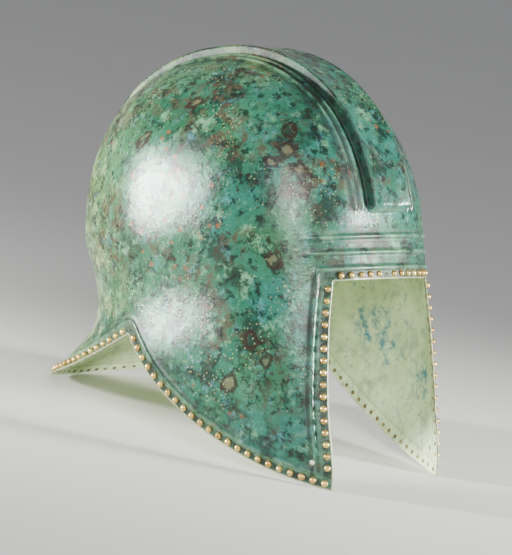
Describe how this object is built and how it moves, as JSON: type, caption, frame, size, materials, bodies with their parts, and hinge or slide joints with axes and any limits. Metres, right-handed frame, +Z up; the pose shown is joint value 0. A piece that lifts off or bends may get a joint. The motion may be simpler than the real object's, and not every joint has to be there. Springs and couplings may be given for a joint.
{
  "type": "illyrian helmet",
  "caption": "Open-faced helmet raised from one bronze sheet, with a ribbed crest channel, brow ribs, pointed cheek guards, a flared neck guard and rows of dome-headed rivets.",
  "frame": {"origin": "middle of the overall box, on the surface that the helmet stands on", "axes": "+X towards the wearer's left, -Y towards the face, +Z up, with the helmet laid back on its cheek tips and neck guard"},
  "size_m": [0.194, 0.2726, 0.2554],
  "materials": {
    "patina_bronze": "satin",
    "gilt_rivets": "satin"
  },
  "bodies": {
    "root": {"shell": "patina_bronze", "rivets_brow": "gilt_rivets", "rivets_cheek_front_left": "gilt_rivets", "rivets_cheek_front_right": "gilt_rivets", "rivets_cheek_lower_left": "gilt_rivets", "rivets_cheek_lower_right": "gilt_rivets", "rivets_neck_guard": "gilt_rivets"}
  },
  "joints": []
}
